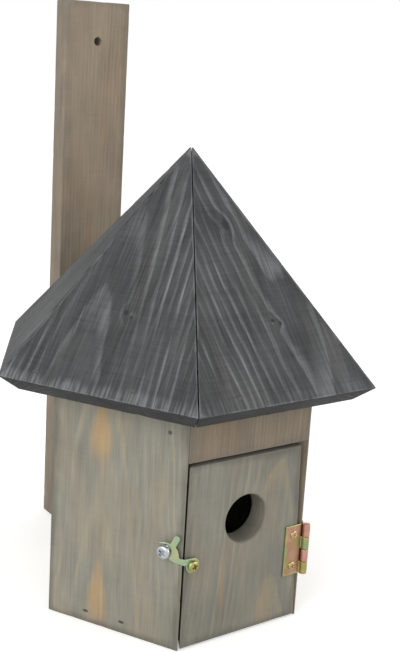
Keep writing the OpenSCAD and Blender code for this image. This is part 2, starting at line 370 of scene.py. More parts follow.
def place_piece(name, mesh, node):
    """Adds a piece that stands for a CAD node: same body, with the node hidden."""
    piece = bpy.data.objects.new(name, mesh)
    scene.collection.objects.link(piece)
    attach(piece, BODY[node])
    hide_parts(node)
    return piece


print("one slow wave of an arris, mm:", round(SWAY / MM))

# %% [markdown]
# ## Stained softwood: the patterns
# The boards are sawn pine. Its surface holds patterns of very different sizes: grain that bends
# over a whole board, soft and hard streaks, fibres, patches where the stain sank in, and marks of
# the saw across the grain. A picture of wood would stop at each mitre, so each pattern is a noise
# that is drawn out along the board's own grain instead. Real fibres are far finer than 1.6 mm, but
# finer ones would not show from where the box is seen.

# %% Patterns along the grain
SMOOTH = {"interpolation_type": "SMOOTHSTEP"}
COLOURS = {"data_type": "RGBA"}

# Width across the grain and length along it, mm, then how much fine detail, and a shift that sets it apart
PATTERNS = {
    "bends": (55, 150, 2.0, 0), "ripples": (9, 60, 2.0, 5), "fibres": (1.6, 45, 2.0, 11),
    "soft": (5, 90, 2.0, 17), "blotches": (30, 60, 3.0, 23), "saw": (26, 1.7, 1.0, 31),
    "warmth": (22, 90, 1.0, 41), "wear": (12, 16, 2.0, 53), "strength": (42, 90, 1.0, 61),
    "rubbing": (10, 60, 3.0, 71),
}


def wood_patterns(tree, grain, seed):
    """One noise for each pattern, from about 0 to 1. The seed gives each board its own."""
    patterns = {}
    for name, (across_mm, along_mm, detail, shift) in PATTERNS.items():
        scales = (1 / (across_mm * MM), 1 / (along_mm * MM), 1 / (across_mm * MM))
        place = seed + shift
        offset = (place, place * 0.7, place * 1.3)
        scaled = add_node(tree, "VectorMath", {0: grain, 1: scales}, operation="MULTIPLY")
        moved = add_node(tree, "VectorMath", {0: scaled, 1: offset}, operation="ADD")
        patterns[name] = add_node(tree, "TexNoise", {"Vector": moved, "Scale": 1.0, "Detail": detail,
                                                     "Roughness": 0.6})
    return patterns


print("patterns in each board:", ", ".join(PATTERNS))

# %% [markdown]
# ## Growth rings and knots
# A pine board is a slice through nested cones: each year adds a wide, light band of early wood and
# a thin band of late wood. Sliced beside the heart, the cones show as nested arches; further out,
# as straight lines. So each board has a heart to measure from. The trunk's taper and some wandering
# are added to that distance, and the sum is counted in rings. The same sum gives lines on the face,
# arcs on the end grain and arches where the slice grazes a cone. A knot is the foot of a branch: it
# pushes the rings aside and has a dark core with small rings of its own.

# %% Rings and knots
KNOT_LENGTH = 0.8     # a knot's size across the grain to its size along it
WHORL = 0.8 * MM      # width of a ring inside a knot
LATE_FULL = 0.84      # part of the year at which the late wood is darkest
LATE_OVER = 0.9       # part of the year from which it gives way to the next spring
POOR_YEAR = 0.35      # how much late wood the poorest year has, beside the best


def ring_distance(tree, grain, along, patterns, look, cut):
    """How far each point is from the heart of its log, m, with the trunk's taper, bends and ripples."""
    heart = (cut["heart"][0] * MM, 0, cut["heart"][1] * MM)
    from_heart = add_node(tree, "VectorMath", {0: grain, 1: heart}, operation="SUBTRACT")
    across_log = add_node(tree, "VectorMath", {0: from_heart, 1: (1, 0, 1)}, operation="MULTIPLY")
    distance = add_node(tree, "VectorMath", {0: across_log}, operation="LENGTH")
    for pattern, amount in ((along, cut["taper"]), (patterns["bends"], cut["bend"] * MM),
                            (patterns["ripples"], look["ripple_mm"] * MM)):
        distance = add_node(tree, "Math", {0: pattern, 1: amount, 2: distance}, operation="MULTIPLY_ADD")
    return distance


def add_knots(tree, grain, distance, patterns, cut):
    """Pushes the rings aside round each knot. Gives the new distance, and how dark the knots make a point."""
    core = 0.0
    for across, along, size, depth in cut.get("knots", ()):
        knot = (across * MM, along * MM, 0)
        offset = add_node(tree, "VectorMath", {0: grain, 1: knot}, operation="SUBTRACT")
        offset = add_node(tree, "VectorMath", {0: offset, 1: (1, KNOT_LENGTH, 0)}, operation="MULTIPLY")
        away = add_node(tree, "VectorMath", {0: offset}, operation="LENGTH")
        away = add_node(tree, "Math", {0: patterns["ripples"], 1: size * 0.5 * MM, 2: away},
                        operation="MULTIPLY_ADD")
        push = add_node(tree, "MapRange", {0: away, 2: size * 5 * MM, 3: size * 1.3 * MM, 4: 0.0}, **SMOOTH)
        distance = add_node(tree, "Math", {0: distance, 1: push}, operation="ADD")
        whorl = add_node(tree, "Math", {0: away, 1: WHORL}, operation="PINGPONG")
        whorl = add_node(tree, "MapRange", {0: whorl, 2: WHORL, 3: 0.55}, **SMOOTH)
        spot = add_node(tree, "MapRange", {0: away, 1: size * 1.5 * MM, 2: size * 0.9 * MM, 4: depth},
                        **SMOOTH)
        spot = add_node(tree, "Math", {0: spot, 1: whorl}, operation="MULTIPLY")
        core = add_node(tree, "Math", {0: core, 1: spot}, operation="MAXIMUM")
    return distance, core


def late_wood(tree, distance, patterns, look, cut):
    """Where the late wood of each year lies: a slow rise through the year, then a sharp end."""
    years = add_node(tree, "Math", {0: distance, 1: cut["ring"] * MM}, operation="DIVIDE")
    season = add_node(tree, "Math", {0: years}, operation="FRACT")
    year = add_node(tree, "Math", {0: years}, operation="FLOOR")
    weather = add_node(tree, "TexWhiteNoise", {"W": year}, noise_dimensions="1D")
    rise = add_node(tree, "MapRange", {0: season, 1: look["late_from"], 2: LATE_FULL}, **SMOOTH)
    drop = add_node(tree, "MapRange", {0: season, 1: 1.0, 2: LATE_OVER}, **SMOOTH)
    good_year = add_node(tree, "MapRange", {0: weather, 3: POOR_YEAR}, **SMOOTH)
    shown = add_node(tree, "MapRange", {0: patterns["strength"], 1: 0.36, 2: 0.56, 3: look["faintest"]},
                     **SMOOTH)
    late = add_node(tree, "Math", {0: rise, 1: drop}, operation="MULTIPLY")
    late = add_node(tree, "Math", {0: late, 1: good_year}, operation="MULTIPLY")
    return add_node(tree, "Math", {0: late, 1: shown}, operation="MULTIPLY")


# %% [markdown]
# ## Flames
# Where the slice grazes the tip of the newest cone, the wood is soft and takes less stain, so it
# glows ochre. The glow is a tongue: it starts at a point, widens downwards and fades out. The rings
# can't say where it is, because it is a matter of how the wood drank, so each board lists its own.

# %% Flames
def add_flames(tree, across, along, colour, patterns, look, cut):
    """Blends a warm tongue into the colour for each flame of a board."""
    wobble = add_node(tree, "Math", {0: patterns["ripples"], 1: 0.5}, operation="SUBTRACT")
    for middle, tip, half_width, length, glow in cut.get("flames", ()):
        below_tip = add_node(tree, "Math", {0: tip * MM, 1: along}, operation="SUBTRACT")
        down = add_node(tree, "Math", {0: below_tip, 1: length * MM}, operation="DIVIDE")
        width = add_node(tree, "MapRange", {0: down, 2: 0.7, 4: half_width * MM}, **SMOOTH)
        aside = add_node(tree, "Math", {0: across, 1: middle * MM}, operation="SUBTRACT")
        aside = add_node(tree, "Math", {0: aside}, operation="ABSOLUTE")
        aside = add_node(tree, "Math", {0: wobble, 1: 6 * MM, 2: aside}, operation="MULTIPLY_ADD")
        inside = add_node(tree, "Math", {0: width, 1: aside}, operation="SUBTRACT")
        inside = add_node(tree, "Math", {0: inside, 1: half_width * MM}, operation="DIVIDE")
        inside = add_node(tree, "MapRange", {0: inside, 1: -0.25, 2: 0.6}, **SMOOTH)
        fading = add_node(tree, "MapRange", {0: down, 1: 1.15, 2: 0.75, 4: glow}, **SMOOTH)
        flame = add_node(tree, "Math", {0: inside, 1: fading}, operation="MULTIPLY")
        colour = add_node(tree, "Mix", {0: flame, MIX_A: colour, MIX_B: srgb(look["warm"])}, **COLOURS)
    return colour


# %% [markdown]
# ## Darker edges and wear
# A board is darker within a few millimetres of its arrises. Its arrises are knocked and show paler
# wood. Along the eave, water runs off and ladders lean, so a ragged band there is rubbed pale. All
# three use the distance to the nearest arris, or to the board's lower end, and are made ragged by
# the grain's own patterns.

# %% Darker edges and wear
def darken_near_arrises(tree, edge, colour, patterns, look):
    """Darkens a board beside its arrises."""
    ragged = add_node(tree, "Math", {0: patterns["blotches"], 1: 0.5}, operation="SUBTRACT")
    ragged = add_node(tree, "Math", {0: ragged, 1: 14 * MM, 2: edge}, operation="MULTIPLY_ADD")
    edge_dark = add_node(tree, "MapRange", {0: ragged, 2: 7 * MM, 3: look["edge_darkening"], 4: 0.0}, **SMOOTH)
    return add_node(tree, "Mix", {0: edge_dark, MIX_A: colour, MIX_B: srgb(look["edge_dark"])}, **COLOURS)


def rub_eave(tree, along, end, colour, patterns, look, cut):
    """Pales a ragged band along a board's lower end, but not on its end grain."""
    ragged = add_node(tree, "Math", {0: patterns["rubbing"], 1: 0.5}, operation="SUBTRACT")
    ragged = add_node(tree, "Math", {0: ragged, 1: 18 * MM, 2: along}, operation="MULTIPLY_ADD")
    top, full = look["band_mm"] * 1.2 * MM, look["band_mm"] * 0.3 * MM
    band = add_node(tree, "MapRange", {0: ragged, 1: top, 2: full, 4: cut.get("rubbed", 0.1)}, **SMOOTH)
    hard = add_node(tree, "MapRange", {0: patterns["fibres"], 1: 0.4, 2: 0.58, 3: 0.2}, **SMOOTH)
    face = add_node(tree, "MapRange", {0: end, 1: 0.2, 2: 0.6, 3: 1.0, 4: 0.0}, **SMOOTH)
    band = add_node(tree, "Math", {0: band, 1: hard}, operation="MULTIPLY")
    band = add_node(tree, "Math", {0: band, 1: face}, operation="MULTIPLY")
    return add_node(tree, "Mix", {0: band, MIX_A: colour, MIX_B: srgb(look["worn"])}, **COLOURS)


def wear_arrises(tree, edge, end, colour, patterns, look):
    """Shows paler wood in patches along the arrises."""
    ragged = add_node(tree, "Math", {0: patterns["ripples"], 1: 0.5}, operation="SUBTRACT")
    ragged = add_node(tree, "Math", {0: ragged, 1: 3 * MM, 2: edge}, operation="MULTIPLY_ADD")
    width = look["wear_mm"] * MM
    worn = add_node(tree, "MapRange", {0: ragged, 1: 0.1 * MM, 2: width, 3: look["wear"], 4: 0.0}, **SMOOTH)
    face = add_node(tree, "MapRange", {0: end, 1: 0.1, 2: 0.6, 3: 1.0, 4: 0.1}, **SMOOTH)
    patchy = add_node(tree, "MapRange", {0: patterns["wear"], 1: 0.35, 2: 0.6, 3: 0.25}, **SMOOTH)
    worn = add_node(tree, "Math", {0: worn, 1: face}, operation="MULTIPLY")
    worn = add_node(tree, "Math", {0: worn, 1: patchy}, operation="MULTIPLY")
    return add_node(tree, "Mix", {0: worn, MIX_A: colour, MIX_B: srgb(look["worn"])}, **COLOURS)


# %% [markdown]
# ## The whole softwood
# The recipe runs in the order of the board's own life: it grew, so rings and knots come first; it
# was stained and sawn, so the patterns shade it; and it weathered last. Wood is no metal, its IOR
# is that of cellulose, about 1.5, and its dense late wood is a little smoother. The same patterns
# drive a shallow bump, so relief and colour agree.

# %% Softwood
def softwood(name, look, cut):
    """Stained sawn pine. look: its colours and contrasts; cut: where the board was sawn from its log."""
    material, tree, shader = new_material(name)
    grain = add_node(tree, "Attribute", attribute_name="grain").outputs["Vector"]
    edge = add_node(tree, "Attribute", attribute_name="edge").outputs["Fac"]
    end = add_node(tree, "Attribute", attribute_name="end_grain").outputs["Fac"]
    across, along, _ = add_node(tree, "SeparateXYZ", {0: grain}).outputs
    patterns = wood_patterns(tree, grain, cut["seed"])

    distance = ring_distance(tree, grain, along, patterns, look, cut)
    distance, core = add_knots(tree, grain, distance, patterns, cut)
    late = late_wood(tree, distance, patterns, look, cut)

    lateness = add_node(tree, "Math", {0: late, 1: look["ring_contrast"]}, operation="MULTIPLY")
    seasons = {0: lateness, MIX_A: srgb(look["early"]), MIX_B: srgb(look["late"])}
    colour = add_node(tree, "Mix", seasons, **COLOURS)
    warm_part = {0: patterns["warmth"], 1: 0.46, 2: 0.68, 4: look["warmth"]}
    warmth = add_node(tree, "MapRange", warm_part, **SMOOTH)
    colour = add_node(tree, "Mix", {0: warmth, MIX_A: colour, MIX_B: srgb(look["warm"])}, **COLOURS)
    colour = add_flames(tree, across, along, colour, patterns, look, cut)

    # Each pattern lightens and darkens the colour by its contrast, and the end grain is darker: it drinks
    # more stain, and on the roof's downward eave cut the darkening is also painted shade
    shade = 1.0
    for pattern in ("fibres", "soft", "blotches", "saw"):
        swing = add_node(tree, "Math", {0: patterns[pattern], 1: 0.5}, operation="SUBTRACT")
        shade = add_node(tree, "Math", {0: swing, 1: look[pattern], 2: shade}, operation="MULTIPLY_ADD")
    end_darkening = add_node(tree, "MapRange", {0: end, 3: cut.get("pale", 1.0), 4: look["end_stain_and_shade"]}, **SMOOTH)
    shade = add_node(tree, "Math", {0: shade, 1: end_darkening}, operation="MULTIPLY")
    colour = add_node(tree, "HueSaturation", {"Value": shade, "Color": colour})
    colour = add_node(tree, "Mix", {0: core, MIX_A: colour, MIX_B: srgb(look["knot"])}, **COLOURS)

    colour = darken_near_arrises(tree, edge, colour, patterns, look)
    if look["band_mm"]:
        colour = rub_eave(tree, along, end, colour, patterns, look, cut)
    colour = wear_arrises(tree, edge, end, colour, patterns, look)
    tree.links.new(colour.outputs[MIX_OUT], shader.inputs["Base Color"])

    smoother = look["roughness"] - 0.14
    rough = add_node(tree, "MapRange", {0: late, 3: look["roughness"], 4: smoother}, **SMOOTH)
    tree.links.new(rough.outputs[0], shader.inputs["Roughness"])
    shader.inputs["IOR"].default_value = 1.5

    ridges = add_node(tree, "Math", {0: late, 1: 0.8}, operation="MULTIPLY")
    height = add_node(tree, "Math", {0: patterns["fibres"], 1: 0.5, 2: ridges}, operation="MULTIPLY_ADD")
    height = add_node(tree, "Math", {0: patterns["saw"], 1: look["saw_relief"], 2: height},
                      operation="MULTIPLY_ADD")
    hollow = add_node(tree, "Math", {0: core, 1: 0.6}, operation="MULTIPLY")
    height = add_node(tree, "Math", {0: height, 1: hollow}, operation="SUBTRACT")
    bump = add_node(tree, "Bump", {"Height": height, "Strength": 0.7, "Distance": look["relief_mm"] * MM})
    tree.links.new(bump.outputs[0], shader.inputs["Normal"])
    return material


# %% [markdown]
# ## Two stains
# The walls wear a thin grey stain over pine that still glows ochre between the rings, and some
# boards of the same box drank it to a warmer brown. The roof wears a heavier slate-grey stain, in
# which the late wood stands out paler because the dense wood took up less of it. All three are
# dull: the stain leaves no film on the wood.

# %% Stains
# early, late: wood of the two seasons. late_from: when in the year the late wood starts. faintest: how much
# of the rings shows where they are weakest. edge_darkening: how much a board darkens beside its arrises,
# edge_dark: the colour it darkens to. fibres, soft, blotches, saw:
# contrast of each pattern. end_stain_and_shade: lightness of the end grain, from the stain it drinks and, on
# the roof's eave cut, from painted shade. wear, wear_mm: pale wood on the arrises,
# and how far it reaches. band_mm: the rubbed band along the eave. saw_relief: height of the saw marks.
GREY_STAIN = {
    "early": "#8b897e", "late": "#a1977f", "warm": "#b3966e", "worn": "#a39d90", "knot": "#4c4136",
    "edge_dark": "#5f5d55",
    "ring_contrast": 0.7, "late_from": 0.35, "faintest": 0.3, "ripple_mm": 0.5, "warmth": 0.12, "edge_darkening": 0.6,
    "fibres": 0.5, "soft": 0.15, "blotches": 0.6, "saw": 0.1,
    "end_stain_and_shade": 0.72, "wear": 0.2, "wear_mm": 1.4, "band_mm": 0, "roughness": 0.82,
    "saw_relief": 0.2, "relief_mm": 0.25,
}
BROWN_STAIN = GREY_STAIN | {
    "early": "#8f8270", "late": "#776a5e", "warm": "#a3866c",
    "late_from": 0.45, "warmth": 0.25, "edge_darkening": 0.3,
}
SLATE_STAIN = {
    "early": "#3d3f40", "late": "#6f7173", "warm": "#524f4c", "worn": "#8e9091", "knot": "#101112",
    "edge_dark": "#2e2f31",
    "ring_contrast": 0.75, "late_from": 0.5, "faintest": 0.25, "ripple_mm": 0.7, "warmth": 0.3, "edge_darkening": 0.4,
    "fibres": 1.9, "soft": 0.6, "blotches": 1.9, "saw": 0.5,
    # The roof's end grain is this dark partly as painted shade on the eave's downward cut, on top of the
    # stain it drinks.
    "end_stain_and_shade": 0.22, "wear": 0.5, "wear_mm": 1.6, "band_mm": 9, "roughness": 0.74,
    "saw_relief": 0.5, "relief_mm": 0.28,
}
BROWN_BOARDS = ("lintel", "back_board", "front_right_wall", "upper_spacer", "lower_spacer")
print("stains: grey, brown on", len(BROWN_BOARDS), "boards, slate on the roof")

# %% [markdown]
# ## Where each board was sawn
# No two boards come from the same place in a log, so each has its own heart, ring width and seed. A
# heart just behind the face gives arches, one far to the side gives straight lines. A few boards
# have knots or flames as well.

# %% Cuts
# heart: from the board's centre line and from its face, mm, negative into the wood. ring: a year's width, mm.
# taper: how fast the arches close, negative where they point down. bend: how far the grain wanders, mm.
# knots: across, along, radius, mm, and depth. flames: across, along, half width, length, mm, and glow.
# rubbed: how pale the band along the eave is. pale: how light the whole board is beside its neighbours, and
# on the lintel painted shade under the eave.
CUTS = {
    "front_left_wall": {"heart": (-14, -54), "ring": 3.5, "taper": 0.06, "bend": 7, "seed": 3.1,
                        "flames": [(-14, 186, 9, 56, 0.85), (-13, 68, 8, 66, 0.8)]},
    "front_right_wall": {"heart": (20, -40), "ring": 4.5, "taper": 0.06, "bend": 14, "seed": 8.4},
    "back_left_wall": {"heart": (-30, -30), "ring": 4.6, "taper": 0.08, "bend": 14, "seed": 12.7},
    "back_right_wall": {"heart": (12, -22), "ring": 6.2, "taper": 0.09, "bend": 16, "seed": 17.3,
                        "flames": [(10, 120, 8, 60, 0.6)]},
    "back_wall": {"heart": (0, -28), "ring": 5.8, "taper": 0.09, "bend": 14, "seed": 21.9},
    # The lintel's pale is painted shade: it darkens the whole board as the eave's shadow would.
    "lintel": {"heart": (70, -30), "ring": 3.0, "taper": 0.03, "bend": 4, "seed": 26.5, "pale": 0.84},
    "door": {"heart": (28, -46), "ring": 3.8, "taper": 0.07, "bend": 9, "seed": 31.2, "pale": 0.83,
             "flames": [(-18, 76, 2.5, 60, 0.5), (24, 46, 9, 50, 0.3)]},
    "back_board": {"heart": (-90, -36), "ring": 3.4, "taper": 0.01, "bend": 5, "seed": 36.6, "pale": 0.95},
    "upper_spacer": {"heart": (10, -40), "ring": 4.0, "taper": 0.03, "bend": 8, "seed": 41.8},
    "lower_spacer": {"heart": (-20, -34), "ring": 4.4, "taper": 0.03, "bend": 8, "seed": 44.1},
    "floor_panel": {"heart": (30, -50), "ring": 4.4, "taper": 0.04, "bend": 12, "seed": 47.7},
    "roof_front_left": {"heart": (-21, -47.6), "ring": 4.6, "taper": 0.06, "bend": 5, "seed": 52.3,
                        "knots": [(0, 64, 1.9, 1.0), (5, 61, 1.3, 0.9)], "rubbed": 0.4},
    "roof_front": {"heart": (30, -50), "ring": 5.0, "taper": -0.06, "bend": 9, "seed": 57.9,
                   "knots": [(2, 138, 3.2, 0.8), (10, 60, 1.7, 1.0), (16, 58, 1.2, 0.9)], "rubbed": 0.14},
    "roof_front_right": {"heart": (-20, -30), "ring": 5.0, "taper": 0.08, "bend": 16, "seed": 62.2},
    "roof_back_left": {"heart": (60, -30), "ring": 4.2, "taper": 0.04, "bend": 8, "seed": 66.8},
    "roof_back_right": {"heart": (-12, -20), "ring": 5.2, "taper": 0.12, "bend": 16, "seed": 71.5,
                        "knots": [(-14, 88, 3.0, 0.7)]},
    "roof_back": {"heart": (24, -28), "ring": 4.8, "taper": 0.07, "bend": 18, "seed": 76.0},
}
print("boards with knots:", sum("knots" in cut for cut in CUTS.values()))

# %% [markdown]
# ## All the boards
# Roof boards get a tighter arris with deeper chips, because the saw left them rough; wall boards
# were sanded.

# %% Boards
# Radius of the arris, how far it wanders and how deep its chips are, mm
SANDED = (0.7, 0.3, 1.0)
ROUGH_SAWN = (0.4, 0.4, 2.6)

for node, cut in CUTS.items():
    is_roof = SLOT[node] == "roof_timber"
    ease, wander, chips = ROUGH_SAWN if is_roof else SANDED
    board = eased_board(node, node + "_board", ease * MM, wander * MM, chips * MM)
    look = SLATE_STAIN if is_roof else BROWN_STAIN if node in BROWN_BOARDS else GREY_STAIN
    stain = "slate" if is_roof else "grey"
    board.data.materials.append(softwood(stain + "_stained_pine_" + node, look, cut))
print("boards:", len(CUTS))

# %% [markdown]
# ## Nails
# The boards are nailed through their faces with small wire nails. Each shows as a dull steel disc
# in a raised ring of crushed wood. They could be painted in the wood's material, but a nail is a
# thing with an edge that catches light, so each one is a small turned shape: a dished head inside a
# sloping collar. The nails at the foot of a board went in at a slant, so their heads show as narrow
# ovals. Steel that has tarnished is part metal, part dull brown skin.

# %% Nails
NAIL_STEPS = 20
# A nail head and its collar from the middle outwards: radius and height, as shares of the head's radius
NAIL_PROFILE = [(0.55, 0.08), (0.9, 0.1), (1.0, 0.02), (1.12, 0.03), (1.3, 0.06), (1.45, 0.0)]
ROUND_HEAD = (1.0 * MM, 1.0)     # radius across the grain, then height along it to width
OVAL_HEAD = (1.6 * MM, 0.45)
FOOT = 12                        # mm from a board's lower end; nails below this are slanted


def nail_mesh(bm, place, out, head_r, stretch):
    """A nail head in its collar. stretch is its height along the grain to its width across it."""
    facing_out = Matrix.Translation(place) @ out.to_track_quat("Z", "Y").to_matrix().to_4x4()
    loops = []
    for r, h in NAIL_PROFILE:
        loop = []
        for k in range(NAIL_STEPS):
            turn = math.tau * k / NAIL_STEPS
            spot = Vector((r * math.cos(turn), r * stretch * math.sin(turn), h)) * head_r
            loop.append(bm.verts.new(facing_out @ spot))
        loops.append(loop)
    for a, b in zip(loops, loops[1:]):
        for k in range(NAIL_STEPS):
            bm.faces.new((a[k - 1], a[k], b[k], b[k - 1]))
    bm.faces.new(loops[0])


def on_board(node, across, along):
    """A point on a board's outer face, from its own coordinates, and the face's direction."""
    mesh = frame["nodes"][node].data
    axes, local = board_space(mesh)
    steps = Vector((across, along, 0)) - local(Vector())
    return sum((axis * step for axis, step in zip(axes, steps)), Vector()), axes[2]


print("a round head's width, mm:", round(2 * ROUND_HEAD[0] / MM, 1))

# %% Nails in place
# board: places across and along, mm
NAILS = {
    "front_left_wall": [(-22, 9), (8, 9), (39, 161)],
    "front_right_wall": [(-22, 9), (24, 9), (-40, 165), (40, 165)],
    "back_left_wall": [(-24, 9), (22, 9)],
    "back_right_wall": [(-20, 9), (25, 9)],
    "roof_front_left": [(-49, 9), (26, 9)],
    "roof_front": [(9, 58), (-40, 9)],
    "roof_front_right": [(-30, 16), (22, 60)],
    "roof_back_left": [(-24, 18), (28, 56)],
    "roof_back_right": [(-28, 20), (26, 52)],
    "roof_back": [(-26, 60), (26, 58)],
}

# Bright wire that has tarnished outdoors: still metal, dulled by a brown skin in 0.7 mm specks
nail_steel, tree, shader = new_material("dull_wire_nail_steel")
shader.inputs["Metallic"].default_value = 0.7
place = add_node(tree, "TexCoord").outputs["Object"]
speckle = add_node(tree, "TexNoise", {"Vector": place, "Scale": 1 / (0.7 * MM), "Detail": 2.0})
tarnish = add_node(tree, "Mix", {0: speckle, MIX_A: srgb("#3a352f"), MIX_B: srgb("#77736c")}, **COLOURS)
tree.links.new(tarnish.outputs[MIX_OUT], shader.inputs["Base Color"])
shader.inputs["Roughness"].default_value = 0.55

for node, places in NAILS.items():
    bm = bmesh.new()
    for across, along in places:
        point, out = on_board(node, across * MM, along * MM)
        nail_mesh(bm, point, out, *(OVAL_HEAD if along < FOOT else ROUND_HEAD))
    mesh = bpy.data.meshes.new(node + "_nails")
    bm.to_mesh(mesh)
    bm.free()
    mesh.materials.append(nail_steel)
    nails = bpy.data.objects.new(node + "_nails", mesh)
    scene.collection.objects.link(nails)
    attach(nails, BODY[node])
print("nails:", sum(len(places) for places in NAILS.values()))


# %% [markdown]
# ## Zinc plate
# The hinge and the hook are steel with yellow passivated zinc, whose thin film splits light into
# olive, pink and green patches. The catch screw has bright zinc. A thin-film shader could work the
# colours out, but the film's thickness is unknown, so patches of noise blend three tints that lie
# side by side on such plate. Both are metals, so the tint sits in the reflection, and the bath
# leaves a satin surface with fine scuffs.

# %% Zinc
PATCH = 10.526 * MM   # size of a patch of one tint
DRIFT = 16.667 * MM   # size of the slower change over it
SCUFF = 1.111 * MM    # coarser than real scuffs, which would not show


def zinc_plate(name, tints, roughness):
    """Zinc plate with patches of three tints, and scuffs in its satin surface."""
    material, tree, shader = new_material(name)
    place = add_node(tree, "TexCoord").outputs["Object"]
    patch = add_node(tree, "TexNoise", {"Vector": place, "Scale": 1 / PATCH, "Detail": 1.0})
    drift = add_node(tree, "TexNoise", {"Vector": place, "Scale": 1 / DRIFT, "Detail": 2.0,
                                        "Distortion": 0.6})
    first = add_node(tree, "MapRange", {0: patch, 1: 0.44, 2: 0.58}, **SMOOTH)
    second = add_node(tree, "MapRange", {0: drift, 1: 0.5, 2: 0.62}, **SMOOTH)
    colour = add_node(tree, "Mix", {0: first, MIX_A: srgb(tints[0]), MIX_B: srgb(tints[1])}, **COLOURS)
    colour = add_node(tree, "Mix", {0: second, MIX_A: colour, MIX_B: srgb(tints[2])}, **COLOURS)
    scuffs = add_node(tree, "TexNoise", {"Vector": place, "Scale": 1 / SCUFF, "Detail": 3.0})
    rough = add_node(tree, "MapRange", {0: scuffs, 1: 0.3, 2: 0.7, 3: roughness - 0.08, 4: roughness + 0.1})
    tree.links.new(colour.outputs[MIX_OUT], shader.inputs["Base Color"])
    tree.links.new(rough.outputs[0], shader.inputs["Roughness"])
    shader.inputs["Metallic"].default_value = 1.0
    bump = add_node(tree, "Bump", {"Height": scuffs, "Strength": 0.3, "Distance": 0.05 * MM})
    tree.links.new(bump.outputs[0], shader.inputs["Normal"])
    return material


OLIVE_ZINC = zinc_plate("olive_passivated_zinc", ("#b3ad6e", "#c2b27c", "#9fb07e"), 0.32)
PINK_ZINC = zinc_plate("pink_passivated_zinc", ("#cf9a8a", "#c9a58a", "#d8a69a"), 0.3)
GREEN_ZINC = zinc_plate("green_passivated_zinc", ("#b3c29c", "#c4bf94", "#abc0a0"), 0.34)
PLATE_ZINC = zinc_plate("rose_plate_zinc", ("#bb8f7c", "#c49a86", "#b3996c"), 0.36)
BRIGHT_ZINC = zinc_plate("bright_zinc", ("#c4c8cc", "#b4babf", "#cfd2d4"), 0.28)
print("the hook's finish:", GREEN_ZINC.name)

# %% [markdown]
# ## Pressed metal
# The hinge leaves and the hook are punched from sheet, so their edges are slightly rolled over. A
# voxel remesh of the CAD shape with a light smoothing gives that roll all round, even on the hook's
# odd outline, where a bevel would fail.

# %% Hinge and hook
HINGE_VOXEL = 0.28 * MM    # about half the roll of an edge
HOOK_VOXEL = 0.2 * MM


def pressed(node, name, voxel, material):
    """A copy of a sheet-metal node with softly rounded edges."""
    piece = place_piece(name, frame["nodes"][node].data.copy(), node)
    piece.data.materials.clear()
    remesh = piece.modifiers.new("remesh", "REMESH")
    remesh.mode = "VOXEL"
    remesh.voxel_size = voxel
    smooth = piece.modifiers.new("smooth", "SMOOTH")
    smooth.iterations = 2
    smooth.factor = 0.5
    shaped = bpy.data.meshes.new_from_object(piece.evaluated_get(bpy.context.evaluated_depsgraph_get()))
    piece.modifiers.clear()
    piece.data = shaped
    piece.data.materials.clear()
    piece.data.materials.append(material)
    piece.data.shade_smooth()
    print(name, len(shaped.polygons), "faces")
    return piece


door_leaf = pressed("door_hinge_leaf", "door_leaf_plate", HINGE_VOXEL, PLATE_ZINC)
pressed("wall_hinge_leaf", "wall_leaf_plate", HINGE_VOXEL, PINK_ZINC)
pressed("latch_hook", "hook_plate", HOOK_VOXEL, GREEN_ZINC)
hinge_pin = frame["nodes"]["hinge_pin"]
hinge_pin.data.materials.clear()
hinge_pin.data.materials.append(PINK_ZINC)

# %% [markdown]
# ## The door leaf's rim
# The plating bath left the door leaf's knuckles and its rim olive, and its middle rose. Both are
# the same plate, so the leaf stays one piece, and only its faces near the rim and the pin take the
# second material.

# %% Door leaf rim
KNUCKLE_REACH = 2 * MM    # how far the knuckles' colour reaches past the pin
RIM = 1.6 * MM            # width of the olive rim, and how far and how often it wavers
RIM_WAVER = 0.6 * MM
RIM_WAVE = 1.7 * MM

door_leaf.data.materials.append(OLIVE_ZINC)
knuckles_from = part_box("hinge_pin")[0].x - KNUCKLE_REACH
leaf_low, leaf_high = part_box("door_hinge_leaf")
for face in door_leaf.data.polygons:
    x, z = face.center.x, face.center.z
    from_rim = min(x - leaf_low.x, z - leaf_low.z, leaf_high.z - z)
    on_rim = from_rim < RIM + RIM_WAVER * math.sin(z / RIM_WAVE)
    face.material_index = int(x > knuckles_from or on_rim)
print("olive faces:", sum(face.material_index for face in door_leaf.data.polygons))

# %% [markdown]
# ## Screws
# The screws are pan heads with a cross recess. A head is a disc of fine rings whose height is a low
# dome less the recess, which is two crossed bars with soft sides. That gives a real hollow with a
# floor, and needs no boolean.

# %% Screw heads
RINGS, SPOKES = 26, 72
HEAD_ARM = 0.52       # length of a recess bar's arm, as a share of the head's radius
HEAD_BAR = 0.15       # half its width, as a share of the same
HEAD_DEPTH = 0.62     # its depth, as a share of the head's height
RIM_HEIGHT = 0.28     # height of the head's outer edge, as a share of the same
THREAD = 1.2 * MM     # from one turn of the thread to the next
CORE = 0.82           # radius between the threads, as a share of the shank's
HEAD_CREASE = math.radians(40)    # edges of a head sharper than this stay sharp to the eye


def around(radius, height):
    """Points on a level circle."""
    turns = [math.tau * k / SPOKES for k in range(SPOKES)]
    return [Vector((radius * math.cos(turn), radius * math.sin(turn), height)) for turn in turns]


def recess_depth(x, y, arm, width, depth):
    """Depth of a cross recess at a point: two bars, sloping down to a flat floor."""
    inside = max(min(arm - abs(x), width - abs(y)), min(arm - abs(y), width - abs(x)))
    return depth * max(0.0, min(1.0, inside / (0.45 * width)))


